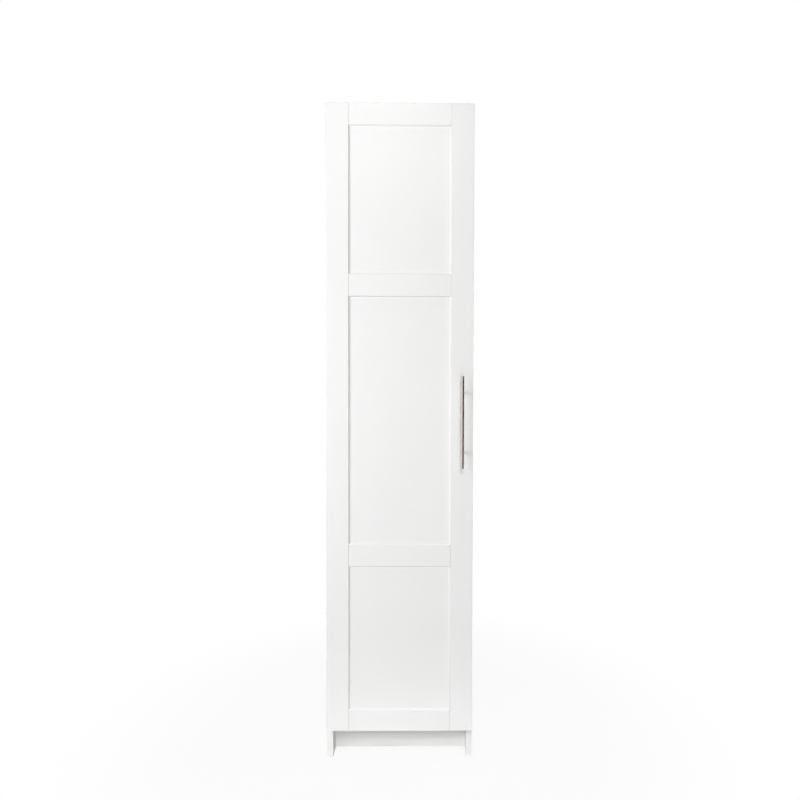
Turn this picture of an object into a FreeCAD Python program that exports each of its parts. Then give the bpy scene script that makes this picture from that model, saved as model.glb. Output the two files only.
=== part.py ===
import FreeCAD
import Part
import math
import os

# Tall broom cupboard with one framed door, in millimetres, +Z up.
# The origin lies on the floor, midway across the width and the whole depth.
# The front faces -Y, the hinges are on the -X side and the handle is on the +X side.

# Carcass boards
CARCASS_WIDTH = 400.0
CARCASS_HEIGHT = 1790.0
SIDE_DEPTH = 376.0
BOARD_THICKNESS = 16.0
BOARD_EDGE_ROUND = 0.8
GLIDE_HEIGHT = 3.0
KICK_HEIGHT = 85.0
KICK_SETBACK = 50.0
UPPER_SPACE_HEIGHT = 414.0
WALL_RAIL_HEIGHT = 80.0
WALL_HOLE_SPACING = 200.0
WALL_HOLE_RADIUS = 2.5
BACK_THICKNESS = 3.0
BACK_INSET = 1.0
BACK_JOINT_GAP = 1.0

# Clearances shared by every drilled fit and by every cut
FIT_PLAY = 0.05
CUT_OVERRUN = 1.0

# Adjustable shelf, its pins and the rows of pin holes
SHELF_SIDE_PLAY = 0.5
SHELF_SETBACK = 20.0
SHELF_BACK_PLAY = 2.0
PIN_ROW_INSET = 37.0
PIN_ROW_PITCH = 32.0
PIN_ROW_START = 96.0
PIN_ROW_COUNT = 7
PINS_BELOW_SHELF_COUNT = 3
SHELF_PIN_RADIUS = 2.5
SHELF_PIN_DEPTH = 9.0
SHELF_PIN_HOLE_DEPTH = 10.0
SHELF_PIN_TAB_LENGTH = 12.0
SHELF_PIN_TAB_WIDTH = 9.0

# Foot glides with a moulded nail
GLIDE_RADIUS = 7.0
GLIDE_INSET = 25.0
GLIDE_NAIL_RADIUS = 1.2
GLIDE_NAIL_LENGTH = 12.0

# Cam fittings and wooden dowels that hold the boards together
CAM_EDGE_DISTANCE = 90.0
DOWEL_INSET = 45.0
UPRIGHT_CAM_RISE = 18.0
CAM_DISTANCE = 24.0
CAM_RADIUS = 7.4
CAM_LENGTH = 11.4
CAM_RECESS = 0.4
CAM_HOLE_DEPTH = 12.5
CAM_SLOT_WIDTH = 1.6
CAM_SLOT_LENGTH = 9.0
CAM_SLOT_DEPTH = 1.5
CAM_CAP_RADIUS = 8.5
CAM_CAP_HEIGHT = 1.2
BOLT_THREAD_RADIUS = 2.5
BOLT_THREAD_LENGTH = 11.0
BOLT_SHANK_RADIUS = 2.2
BOLT_HEAD_RADIUS = 3.2
BOLT_HEAD_LENGTH = 4.0
BOLT_BORE_RADIUS = 4.0
DOWEL_RADIUS = 4.0
DOWEL_DEPTH = 10.0
DOWEL_LENGTH = 30.0
DOWEL_END_PLAY = 0.5

# Nails that hold the back panels
NAIL_PITCH = 150.0
NAIL_END_INSET = 25.0
NAIL_ROW_OFFSET = 4.0
NAIL_CROSS_SPACING = 110.0
NAIL_HEAD_RADIUS = 2.3
NAIL_HEAD_HEIGHT = 0.8
NAIL_SHANK_RADIUS = 0.8
NAIL_LENGTH = 18.0

# Door frame and panels
DOOR_THICKNESS = 18.0
DOOR_REVEAL = 1.0
DOOR_FRONT_ROUND = 1.5
DOOR_BACK_ROUND = 2.0
STILE_FACE = 60.0
RAIL_FACE = 58.0
UPPER_OPENING = 398.0
LOWER_OPENING = 398.0
FRAME_BEVEL = 3.0
PANEL_RECESS = 6.0
PANEL_THICKNESS = 6.0
GROOVE_DEPTH = 9.0
PANEL_PLAY = 1.0
TENON_PLAY = 0.5
JOINT_GAP = 0.7
JOINT_GAP_DEPTH = 2.0

# Door bumpers
BUMPER_RADIUS = 5.0
BUMPER_INSET = 12.0
BUMPER_CLEARANCE = 0.3

# Bar handle
HANDLE_LENGTH = 246.0
HANDLE_RADIUS = 5.0
HANDLE_END_CHAMFER = 0.6
HANDLE_PROJECTION = 35.0
HANDLE_CENTRE_HEIGHT = 936.0
HANDLE_EDGE_INSET = 31.0
POST_SPACING = 160.0
POST_RADIUS = 4.0
SPIGOT_RADIUS = 2.5
SPIGOT_DEPTH = 4.0
HANDLE_BOLT_RADIUS = 2.0
HANDLE_BOLT_GRIP = 12.0
HANDLE_BOLT_END_PLAY = 2.0
HANDLE_BOLT_HEAD_RADIUS = 4.0
HANDLE_BOLT_HEAD_HEIGHT = 2.2

# Concealed one-pin hinges
HINGE_COUNT = 4
HINGE_END_DISTANCE = 100.0
PIN_EDGE = 8.0
PIN_DEPTH = 8.5
PIN_RADIUS = 1.25
KNUCKLE_WALL = 0.95
KNUCKLE_HALF_WIDTH = 5.5
KNUCKLE_SIDE_PLAY = 0.4
SWING_CLEARANCE = 0.65
CUP_RADIUS = 17.5
CUP_EDGE_TAB = 3.0
CUP_WALL = 1.0
CUP_FLOOR = 1.0
CUP_FLOOR_CLEARANCE = 0.8
EAR_WIDTH = 3.5
FLANGE_THICKNESS = 1.2
FLANGE_WIDTH = 13.0
FLANGE_OFFSET = 6.0
CUP_SCREW_SPACING = 48.0
CUP_SCREW_RADIUS = 1.7
CUP_SCREW_LENGTH = 12.0
CUP_SCREW_HEAD_RADIUS = 3.3
CUP_SCREW_HEAD_HEIGHT = 1.4
PLATE_BASE = 2.3
PLATE_RIDGE = 4.7
PLATE_RIDGE_HALF_WIDTH = 6.0
PLATE_RIDGE_PLAY = 0.2
PLATE_FRONT_INSET = 9.0
PLATE_LENGTH = 52.0
PLATE_WING_WIDTH = 15.0
PLATE_SCREW_INSET = 37.0
PLATE_SCREW_SPACING = 32.0
PLATE_SCREW_RADIUS = 2.45
PLATE_SCREW_LENGTH = 13.0
PLATE_SCREW_HEAD_RADIUS = 4.4
PLATE_SCREW_HEAD_HEIGHT = 1.6
ARM_SHEET = 1.8
ARM_BEND_RADIUS = 3.0
ARM_FOOT_LIFT = 0.5
ARM_FRONT_INSET = 7.0
ARM_LENGTH = 56.0
ARM_SCREW_INSET = 11.0
ARM_SCREW_RADIUS = 2.0
ARM_SCREW_LENGTH = 5.5
ARM_SCREW_HEAD_RADIUS = 3.4
ARM_SCREW_HEAD_HEIGHT = 2.0

# Cross recess in the screw heads, as shares of the head that it is cut in
RECESS_LENGTH_SHARE = 1.1
RECESS_WIDTH_SHARE = 0.24
RECESS_DEPTH_SHARE = 0.6

# Tolerance for telling edges apart
SAME_PLACE = 1e-6

# Places worked out from the sizes above
Vector = FreeCAD.Vector
ALONG_X = Vector(1, 0, 0)
ALONG_Y = Vector(0, 1, 0)
ALONG_Z = Vector(0, 0, 1)

KNUCKLE_RADIUS = PIN_RADIUS + KNUCKLE_WALL
SWING_RADIUS = math.hypot(PIN_EDGE - DOOR_BACK_ROUND, PIN_DEPTH - DOOR_BACK_ROUND) + DOOR_BACK_ROUND
DOOR_GAP = SWING_RADIUS - PIN_DEPTH + SWING_CLEARANCE
TOTAL_DEPTH = HANDLE_PROJECTION + DOOR_THICKNESS + DOOR_GAP + SIDE_DEPTH + BACK_THICKNESS

DOOR_FRONT = HANDLE_PROJECTION - TOTAL_DEPTH / 2
DOOR_BACK = DOOR_FRONT + DOOR_THICKNESS
FRONT = DOOR_BACK + DOOR_GAP
BACK = FRONT + SIDE_DEPTH
REAR = BACK + BACK_THICKNESS

OUTER_HALF = CARCASS_WIDTH / 2
INNER_HALF = OUTER_HALF - BOARD_THICKNESS
TOP_PANEL_UNDERSIDE = CARCASS_HEIGHT - BOARD_THICKNESS
FIXED_SHELF_TOP = TOP_PANEL_UNDERSIDE - UPPER_SPACE_HEIGHT
FIXED_SHELF_UNDERSIDE = FIXED_SHELF_TOP - BOARD_THICKNESS
BACK_SPLIT = FIXED_SHELF_TOP - BOARD_THICKNESS / 2
WALL_RAIL_FRONT = BACK - BOARD_THICKNESS
WALL_RAIL_MIDDLE = TOP_PANEL_UNDERSIDE - WALL_RAIL_HEIGHT / 2
KICK_FRONT = FRONT + KICK_SETBACK
KICK_MIDDLE = (GLIDE_HEIGHT + KICK_HEIGHT) / 2

DOOR_HALF = OUTER_HALF - DOOR_REVEAL
DOOR_TOP = CARCASS_HEIGHT - DOOR_REVEAL
DOOR_BOTTOM = KICK_HEIGHT + DOOR_REVEAL
DOOR_HEIGHT = DOOR_TOP - DOOR_BOTTOM
PANEL_FRONT = DOOR_FRONT + PANEL_RECESS
PANEL_BACK = PANEL_FRONT + PANEL_THICKNESS
HANDLE_X = DOOR_HALF - HANDLE_EDGE_INSET
HANDLE_Y = DOOR_FRONT - HANDLE_PROJECTION + HANDLE_RADIUS

PIN_X = PIN_EDGE - DOOR_HALF
PIN_Y = DOOR_BACK - PIN_DEPTH
CUP_X = CUP_EDGE_TAB + CUP_RADIUS - DOOR_HALF
CUP_CAVITY_DEPTH = PIN_DEPTH + KNUCKLE_RADIUS + CUP_FLOOR_CLEARANCE
CUP_DEPTH = CUP_CAVITY_DEPTH + CUP_FLOOR
CUP_SCREW_X = CUP_X + FLANGE_OFFSET
RIDGE_TOP = PLATE_BASE + PLATE_RIDGE - INNER_HALF
LEG_INNER = RIDGE_TOP + PLATE_RIDGE_PLAY
LEG_OUTER = LEG_INNER + ARM_SHEET
ARM_HALF_WIDTH = PLATE_RIDGE_HALF_WIDTH + PLATE_RIDGE_PLAY + ARM_SHEET
ARM_FRONT = FRONT + ARM_FRONT_INSET
ARM_BACK = ARM_FRONT + ARM_LENGTH
HINGE_SPAN = DOOR_HEIGHT - 2 * HINGE_END_DISTANCE
HINGE_STEP = HINGE_SPAN / (HINGE_COUNT - 1)
HINGE_HEIGHTS = [DOOR_BOTTOM + HINGE_END_DISTANCE + HINGE_STEP * i for i in range(HINGE_COUNT)]


# Basic shapes

def box(x_low, x_high, y_low, y_high, z_low, z_high):
    """A block between two opposite corners."""
    return Part.makeBox(x_high - x_low, y_high - y_low, z_high - z_low, Vector(x_low, y_low, z_low))


def rod(start, direction, length, radius):
    """A round rod from a start point along a direction."""
    return Part.makeCylinder(radius, length, start, direction)


def prism(outline, sweep):
    """A straight solid swept from a closed outline."""
    return Part.Face(Part.makePolygon(outline + outline[:1])).extrude(sweep)


def placed(shape, origin, direction):
    """A copy of a shape that was made along +Z, turned to a direction at an origin."""
    copy = shape.copy()
    copy.Placement = FreeCAD.Placement(origin, FreeCAD.Rotation(ALONG_Z, direction))
    return copy


def raised(shape, height):
    """A copy of a shape moved up."""
    copy = shape.copy()
    copy.translate(ALONG_Z * height)
    return copy


def drilled(shape, tools):
    """A shape less every tool that comes near it."""
    near = [tool for tool in tools if tool.BoundBox.intersect(shape.BoundBox)]
    if near:
        return shape.cut(near).removeSplitter()
    return shape


def round_edges(shape, radius, axes, y_place):
    """Round the straight edges of a block that run along any of some axes at one depth."""
    wanted = []
    for edge in shape.Edges:
        run = edge.Vertexes[-1].Point - edge.Vertexes[0].Point
        along = any(run.cross(axis).Length < SAME_PLACE for axis in axes)
        if along and abs(edge.CenterOfMass.y - y_place) < SAME_PLACE:
            wanted.append(edge)
    return shape.makeFillet(radius, wanted)


def board(x_low, x_high, y_low, y_high, z_low, z_high, long_axis):
    """A board whose two long front edges are eased."""
    block = box(x_low, x_high, y_low, y_high, z_low, z_high)
    return round_edges(block, BOARD_EDGE_ROUND, [long_axis], y_low)


# Fasteners, each made along +Z with the underside of its head at the origin

def cross_recess(length, width, depth):
    """The cross that a driver turns, cut down from the origin."""
    first = box(-length / 2, length / 2, -width / 2, width / 2, -depth, CUT_OVERRUN)
    second = box(-width / 2, width / 2, -length / 2, length / 2, -depth, CUT_OVERRUN)
    return first.fuse(second)


def screw(radius, length, head_radius, head_height):
    """A screw with a flat round head and a cross recess."""
    shank = rod(Vector(0, 0, -length), ALONG_Z, length, radius)
    head = rod(Vector(), ALONG_Z, head_height, head_radius)
    recess = cross_recess(
        head_radius * RECESS_LENGTH_SHARE,
        head_radius * RECESS_WIDTH_SHARE,
        head_height * RECESS_DEPTH_SHARE,
    )
    return shank.fuse(head).cut(raised(recess, head_height)).removeSplitter()


def screw_hole(radius, length):
    """The hole for a screw's shank, with its play."""
    return rod(Vector(0, 0, -length - FIT_PLAY), ALONG_Z, length + FIT_PLAY, radius + FIT_PLAY)


def nail(play):
    """A flat-headed nail whose head ends at the origin, grown by a play for its hole."""
    head = rod(Vector(0, 0, -NAIL_HEAD_HEIGHT), ALONG_Z, NAIL_HEAD_HEIGHT, NAIL_HEAD_RADIUS + play)
    length = NAIL_LENGTH - NAIL_HEAD_HEIGHT + play
    shank = rod(Vector(0, 0, -NAIL_LENGTH - play), ALONG_Z, length, NAIL_SHANK_RADIUS + play)
    return head.fuse(shank)


# Cam joints and dowels at the ends of the boards

def cam_joint(side, y, z, face):
    """One cam joint: the bolt, the lock, and the holes in the side panel and in the board.

    side is -1 at the left side panel and +1 at the right, and face points out of the board
    on the side where the lock goes in.
    """
    end = Vector(side * INNER_HALF, y, z)
    inward = ALONG_X * -side
    seat = end + inward * CAM_DISTANCE + face * (BOARD_THICKNESS / 2)
    thread = rod(end, -inward, BOLT_THREAD_LENGTH, BOLT_THREAD_RADIUS)
    shank = rod(end, inward, CAM_DISTANCE, BOLT_SHANK_RADIUS)
    head_start = end + inward * (CAM_DISTANCE - BOLT_HEAD_LENGTH / 2)
    head = rod(head_start, inward, BOLT_HEAD_LENGTH, BOLT_HEAD_RADIUS)
    bolt = thread.fuse([shank, head]).removeSplitter()
    bore = rod(end, inward, CAM_DISTANCE + BOLT_HEAD_LENGTH, BOLT_BORE_RADIUS)
    recess = cross_recess(CAM_SLOT_LENGTH, CAM_SLOT_WIDTH, CAM_SLOT_DEPTH)
    lock_top = seat - face * CAM_RECESS
    lock = rod(lock_top, -face, CAM_LENGTH, CAM_RADIUS)
    lock = lock.cut([bore, placed(recess, lock_top, face)])
    lock_hole = rod(seat, -face, CAM_HOLE_DEPTH, CAM_RADIUS + FIT_PLAY)
    thread_hole = rod(end, -inward, BOLT_THREAD_LENGTH + FIT_PLAY, BOLT_THREAD_RADIUS + FIT_PLAY)
    cap = rod(seat, face, CAM_CAP_HEIGHT, CAM_CAP_RADIUS)
    return {"bolt": bolt, "lock": lock, "cap": cap, "side": [thread_hole], "board": [bore, lock_hole]}


def dowel_joint(side, y, z):
    """One dowel: the dowel and its holes in the side panel and in the board."""
    end = Vector(side * INNER_HALF, y, z)
    inward = ALONG_X * -side
    dowel = rod(end - inward * DOWEL_DEPTH, inward, DOWEL_LENGTH, DOWEL_RADIUS)
    side_hole = rod(end, -inward, DOWEL_DEPTH + DOWEL_END_PLAY, DOWEL_RADIUS + FIT_PLAY)
    board_reach = DOWEL_LENGTH - DOWEL_DEPTH + DOWEL_END_PLAY
    board_hole = rod(end, inward, board_reach, DOWEL_RADIUS + FIT_PLAY)
    return {"dowel": dowel, "side": [side_hole], "board": [board_hole]}


def flat_board_joints(middle):
    """The cams and dowels at both ends of a level board, with the locks in its underside."""
    cams = []
    dowels = []
    for side in (-1, 1):
        for y in (FRONT + CAM_EDGE_DISTANCE, BACK - CAM_EDGE_DISTANCE):
            cams.append(cam_joint(side, y, middle, -ALONG_Z))
        for y in (FRONT + DOWEL_INSET, BACK - DOWEL_INSET):
            dowels.append(dowel_joint(side, y, middle))
    return cams, dowels


def upright_board_joints(y_middle, z_middle):
    """The cams and dowels at both ends of an upright board, with the locks at its back."""
    cams = []
    dowels = []
    for side in (-1, 1):
        cams.append(cam_joint(side, y_middle, z_middle + UPRIGHT_CAM_RISE, ALONG_Y))
        dowels.append(dowel_joint(side, y_middle, z_middle - UPRIGHT_CAM_RISE))
    return cams, dowels


# Carcass

def back_nail_places():
    """Where the back panels are nailed, as points on their rear face."""
    places = []
    for low, high in ((KICK_HEIGHT, BACK_SPLIT), (BACK_SPLIT, CARCASS_HEIGHT)):
        start = low + NAIL_END_INSET
        span = high - low - 2 * NAIL_END_INSET
        steps = max(1, round(span / NAIL_PITCH))
        for i in range(steps + 1):
            z = start + span * i / steps
            for side in (-1, 1):
                places.append(Vector(side * (OUTER_HALF - BOARD_THICKNESS / 2), REAR, z))
    rows = [
        KICK_HEIGHT + BOARD_THICKNESS / 2,
        BACK_SPLIT - NAIL_ROW_OFFSET,
        BACK_SPLIT + NAIL_ROW_OFFSET,
        CARCASS_HEIGHT - BOARD_THICKNESS / 2,
    ]
    for z in rows:
        for column in (-1, 0, 1):
            places.append(Vector(column * NAIL_CROSS_SPACING, REAR, z))
    return places


def shelf_pin_row_heights():
    """The heights of the pin holes above the fixed shelf."""
    return [FIXED_SHELF_TOP + PIN_ROW_START + PIN_ROW_PITCH * i for i in range(PIN_ROW_COUNT)]


def shelf_pin_depths():
    """The two depths at which pin holes are drilled."""
    return [FRONT + PIN_ROW_INSET, BACK - PIN_ROW_INSET]


def shelf_pin_holes(side):
    """All the pin holes in one side panel."""
    holes = []
    for z in shelf_pin_row_heights():
        for y in shelf_pin_depths():
            start = Vector(side * INNER_HALF, y, z)
            holes.append(rod(start, ALONG_X * side, SHELF_PIN_HOLE_DEPTH, SHELF_PIN_RADIUS + FIT_PLAY))
    return holes


def shelf_pins():
    """The four pins under the adjustable shelf, each with a flat tab."""
    pins = []
    z = shelf_pin_row_heights()[PINS_BELOW_SHELF_COUNT]
    for side in (-1, 1):
        for y in shelf_pin_depths():
            face = Vector(side * INNER_HALF, y, z)
            peg = rod(face, ALONG_X * side, SHELF_PIN_DEPTH, SHELF_PIN_RADIUS)
            ends = sorted([face.x, face.x - side * SHELF_PIN_TAB_LENGTH])
            half = SHELF_PIN_TAB_WIDTH / 2
            tab = box(ends[0], ends[1], y - half, y + half, z - SHELF_PIN_RADIUS, z + SHELF_PIN_RADIUS)
            pins.append(peg.fuse(tab))
    return pins


def adjustable_shelf():
    """The loose shelf on its pins."""
    underside = shelf_pin_row_heights()[PINS_BELOW_SHELF_COUNT] + SHELF_PIN_RADIUS
    half = INNER_HALF - SHELF_SIDE_PLAY
    return board(
        -half, half, FRONT + SHELF_SETBACK, BACK - SHELF_BACK_PLAY,
        underside, underside + BOARD_THICKNESS, ALONG_X,
    )


def glide_places():
    """The middle of each foot glide on the floor."""
    places = []
    for side in (-1, 1):
        for y in (FRONT + GLIDE_INSET, BACK - GLIDE_INSET):
            places.append(Vector(side * (OUTER_HALF - BOARD_THICKNESS / 2), y, 0))
    return places


def foot_glide(play):
    """One glide with its nail, the nail grown by a play for its hole."""
    pad = rod(Vector(), ALONG_Z, GLIDE_HEIGHT, GLIDE_RADIUS)
    length = GLIDE_NAIL_LENGTH + play
    return pad.fuse(rod(Vector(0, 0, GLIDE_HEIGHT), ALONG_Z, length, GLIDE_NAIL_RADIUS + play))


def wall_fixing_holes():
    """The two holes for the screws into a wall, through the fixing rail and the back."""
    holes = []
    length = BOARD_THICKNESS + BACK_THICKNESS + 2 * CUT_OVERRUN
    for side in (-1, 1):
        start = Vector(side * WALL_HOLE_SPACING / 2, WALL_RAIL_FRONT - CUT_OVERRUN, WALL_RAIL_MIDDLE)
        holes.append(rod(start, ALONG_Y, length, WALL_HOLE_RADIUS))
    return holes


def side_panel(side):
    """One side panel, before it is drilled."""
    ends = sorted([side * INNER_HALF, side * OUTER_HALF])
    return board(ends[0], ends[1], FRONT, BACK, GLIDE_HEIGHT, CARCASS_HEIGHT, ALONG_Z)


def level_board(z_low):
    """A full-depth board between the side panels, before it is drilled."""
    return board(-INNER_HALF, INNER_HALF, FRONT, BACK, z_low, z_low + BOARD_THICKNESS, ALONG_X)


def upright_board(y_front, z_low, z_high):
    """An upright board between the side panels, before it is drilled."""
    return board(-INNER_HALF, INNER_HALF, y_front, y_front + BOARD_THICKNESS, z_low, z_high, ALONG_X)


def back_panel(z_low, z_high):
    """One back panel, before it is drilled."""
    half = OUTER_HALF - BACK_INSET
    return box(-half, half, BACK, REAR, z_low, z_high)


def build_carcass():
    """Every piece that stays still, apart from the hinges."""
    joints = {
        "top_panel": flat_board_joints(TOP_PANEL_UNDERSIDE + BOARD_THICKNESS / 2),
        "bottom_panel": flat_board_joints(KICK_HEIGHT + BOARD_THICKNESS / 2),
        "fixed_shelf": flat_board_joints(FIXED_SHELF_UNDERSIDE + BOARD_THICKNESS / 2),
        "kickboard": upright_board_joints(KICK_FRONT + BOARD_THICKNESS / 2, KICK_MIDDLE),
        "wall_fixing_rail": upright_board_joints(WALL_RAIL_FRONT + BOARD_THICKNESS / 2, WALL_RAIL_MIDDLE),
    }
    boards = {
        "top_panel": level_board(TOP_PANEL_UNDERSIDE),
        "bottom_panel": level_board(KICK_HEIGHT),
        "fixed_shelf": level_board(FIXED_SHELF_UNDERSIDE),
        "kickboard": upright_board(KICK_FRONT, GLIDE_HEIGHT, KICK_HEIGHT),
        "wall_fixing_rail": upright_board(
            WALL_RAIL_FRONT, TOP_PANEL_UNDERSIDE - WALL_RAIL_HEIGHT, TOP_PANEL_UNDERSIDE
        ),
    }
    nail_holes = [placed(nail(FIT_PLAY), place, ALONG_Y) for place in back_nail_places()]
    glide_holes = [placed(foot_glide(FIT_PLAY), place, ALONG_Z) for place in glide_places()]
    wall_holes = wall_fixing_holes()
    side_holes = nail_holes + glide_holes + hinge_plate_holes()
    nodes = {"cam_bolts": [], "cam_locks": [], "cam_caps": [], "wood_dowels": []}
    for name, (cams, dowels) in joints.items():
        holes = nail_holes + wall_holes
        for cam in cams:
            nodes["cam_bolts"].append(cam["bolt"])
            nodes["cam_locks"].append(cam["lock"])
        for dowel in dowels:
            nodes["wood_dowels"].append(dowel["dowel"])
        for joint in cams + dowels:
            holes = holes + joint["board"]
            side_holes = side_holes + joint["side"]
        nodes[name] = drilled(boards[name], holes)
    for name in ("top_panel", "fixed_shelf"):
        nodes["cam_caps"] += [cam["cap"] for cam in joints[name][0]]
    for name, side in (("left_side_panel", -1), ("right_side_panel", 1)):
        nodes[name] = drilled(side_panel(side), side_holes + shelf_pin_holes(side))
    half_gap = BACK_JOINT_GAP / 2
    lower = back_panel(KICK_HEIGHT + BACK_INSET, BACK_SPLIT - half_gap)
    upper = back_panel(BACK_SPLIT + half_gap, CARCASS_HEIGHT - BACK_INSET)
    nodes["back_panel_lower"] = drilled(lower, nail_holes)
    nodes["back_panel_upper"] = drilled(upper, nail_holes + wall_holes)
    nodes["back_panel_nails"] = [placed(nail(0), place, ALONG_Y) for place in back_nail_places()]
    nodes["foot_glides"] = [placed(foot_glide(0), place, ALONG_Z) for place in glide_places()]
    nodes["adjustable_shelf"] = adjustable_shelf()
    nodes["shelf_pins"] = shelf_pins()
    return nodes


# Hinges, each made at height zero and raised to its place

def hinge_cup():
    """The cup let into the door, with its screw flange and the ears that hold the pin."""
    floor = Vector(CUP_X, DOOR_BACK - CUP_DEPTH, 0)
    height = CUP_DEPTH + FLANGE_THICKNESS
    outside = rod(floor, ALONG_Y, height, CUP_RADIUS)
    half_width = FLANGE_WIDTH / 2
    half_length = CUP_SCREW_SPACING / 2
    flange_back = DOOR_BACK + FLANGE_THICKNESS
    flange = box(
        CUP_SCREW_X - half_width, CUP_SCREW_X + half_width, DOOR_BACK, flange_back, -half_length, half_length
    )
    ends = [rod(Vector(CUP_SCREW_X, DOOR_BACK, z), ALONG_Y, FLANGE_THICKNESS, half_width)
            for z in (-half_length, half_length)]
    cavity = rod(floor + ALONG_Y * CUP_FLOOR, ALONG_Y, height, CUP_RADIUS - CUP_WALL)
    body = outside.fuse([flange] + ends).cut(cavity)
    ear_inner = KNUCKLE_HALF_WIDTH + KNUCKLE_SIDE_PLAY
    ears = []
    for low, high in ((-CUP_RADIUS, -ear_inner), (ear_inner, CUP_RADIUS)):
        ear = box(
            PIN_X - EAR_WIDTH / 2, PIN_X + EAR_WIDTH / 2, floor.y, PIN_Y + KNUCKLE_RADIUS, low, high
        )
        ears.append(ear.common(outside))
    pin_half = hinge_pin_half()
    pin_hole = rod(Vector(PIN_X, PIN_Y, -pin_half), ALONG_Z, 2 * pin_half, PIN_RADIUS + FIT_PLAY)
    screw_holes = [placed(screw_hole(CUP_SCREW_RADIUS, CUP_SCREW_LENGTH), place, ALONG_Y)
                   for place in cup_screw_places()]
    return body.fuse(ears).cut([pin_hole] + screw_holes).removeSplitter()


def hinge_pin_half():
    """Half the length of a hinge pin: it ends in the wall of the cup."""
    return math.sqrt((CUP_RADIUS - CUP_WALL) ** 2 - (CUP_X - PIN_X) ** 2)


def hinge_pin():
    """The upright pin in the cup's ears, through the arm's knuckle."""
    half = hinge_pin_half() - FIT_PLAY
    return rod(Vector(PIN_X, PIN_Y, -half), ALONG_Z, 2 * half, PIN_RADIUS)


def cup_screw_places():
    """Where the two screws of a cup sit on its flange."""
    return [Vector(CUP_SCREW_X, DOOR_BACK + FLANGE_THICKNESS, z)
            for z in (-CUP_SCREW_SPACING / 2, CUP_SCREW_SPACING / 2)]


def plate_screw_places():
    """Where the two screws of a mounting plate sit on its wings."""
    return [Vector(PLATE_BASE - INNER_HALF, FRONT + PLATE_SCREW_INSET, z)
            for z in (-PLATE_SCREW_SPACING / 2, PLATE_SCREW_SPACING / 2)]


def arm_screw_places():
    """Where the two screws of an arm sit."""
    return [Vector(LEG_OUTER, y, 0) for y in (ARM_FRONT + ARM_SCREW_INSET, ARM_BACK - ARM_SCREW_INSET)]


def arm_screw_holes():
    """The holes for an arm's screws."""
    pattern = screw_hole(ARM_SCREW_RADIUS, ARM_SCREW_LENGTH)
    return [placed(pattern, place, ALONG_X) for place in arm_screw_places()]


def hinge_plate():
    """The mounting plate: a base along the side panel, two wings and a ridge for the arm."""
    y_low = FRONT + PLATE_FRONT_INSET
    y_high = y_low + PLATE_LENGTH
    base_top = PLATE_BASE - INNER_HALF
    base = box(-INNER_HALF, base_top, y_low, y_high, -ARM_HALF_WIDTH, ARM_HALF_WIDTH)
    wing_half = PLATE_WING_WIDTH / 2
    wing_y = FRONT + PLATE_SCREW_INSET
    wing_reach = PLATE_SCREW_SPACING / 2
    wings = box(-INNER_HALF, base_top, wing_y - wing_half, wing_y + wing_half, -wing_reach, wing_reach)
    ends = [rod(Vector(-INNER_HALF, wing_y, z), ALONG_X, PLATE_BASE, wing_half)
            for z in (-wing_reach, wing_reach)]
    ridge = box(base_top, RIDGE_TOP, y_low, y_high, -PLATE_RIDGE_HALF_WIDTH, PLATE_RIDGE_HALF_WIDTH)
    holes = [placed(screw_hole(PLATE_SCREW_RADIUS, PLATE_SCREW_LENGTH), place, ALONG_X)
             for place in plate_screw_places()]
    return base.fuse([wings, ridge] + ends).cut(holes + arm_screw_holes()).removeSplitter()


def hinge_arm():
    """The bent arm: a knuckle on the pin, a web and a leg round the panel, and a channel on the plate."""
    half = KNUCKLE_HALF_WIDTH
    web_front = PIN_Y - KNUCKLE_RADIUS
    bend_outer = ARM_BEND_RADIUS + ARM_SHEET
    bend = Vector(LEG_OUTER - bend_outer, web_front + bend_outer, -half)
    knuckle = rod(Vector(PIN_X, PIN_Y, -half), ALONG_Z, 2 * half, KNUCKLE_RADIUS)
    web = box(PIN_X, bend.x, web_front, web_front + ARM_SHEET, -half, half)
    corner = rod(bend, ALONG_Z, 2 * half, bend_outer).cut(rod(bend, ALONG_Z, 2 * half, ARM_BEND_RADIUS))
    corner = corner.common(box(bend.x, LEG_OUTER, web_front, bend.y, -half, half))
    leg = box(LEG_INNER, LEG_OUTER, bend.y, ARM_FRONT, -half, half)
    foot = PLATE_BASE + ARM_FOOT_LIFT - INNER_HALF
    body = box(foot, LEG_OUTER, ARM_FRONT, ARM_BACK, -ARM_HALF_WIDTH, ARM_HALF_WIDTH)
    inner_half = ARM_HALF_WIDTH - ARM_SHEET
    body = body.cut(box(foot, LEG_INNER, ARM_FRONT, ARM_BACK, -inner_half, inner_half))
    pin_hole = rod(Vector(PIN_X, PIN_Y, -half), ALONG_Z, 2 * half, PIN_RADIUS + FIT_PLAY)
    arm = knuckle.fuse([web, corner, leg, body])
    return arm.cut([pin_hole] + arm_screw_holes()).removeSplitter()


def hinge_plate_holes():
    """The holes in the left side panel for the plates' screws."""
    pattern = screw_hole(PLATE_SCREW_RADIUS, PLATE_SCREW_LENGTH)
    holes = [placed(pattern, place, ALONG_X) for place in plate_screw_places()]
    return [raised(hole, z) for z in HINGE_HEIGHTS for hole in holes]


def hinge_cup_holes():
    """The holes in the left stile for the cups and their screws."""
    floor = Vector(CUP_X, DOOR_BACK - CUP_DEPTH, 0)
    holes = [rod(floor, ALONG_Y, CUP_DEPTH + CUT_OVERRUN, CUP_RADIUS + FIT_PLAY)]
    pattern = screw_hole(CUP_SCREW_RADIUS, CUP_SCREW_LENGTH)
    holes += [placed(pattern, place, ALONG_Y) for place in cup_screw_places()]
    return [raised(hole, z) for z in HINGE_HEIGHTS for hole in holes]


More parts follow.
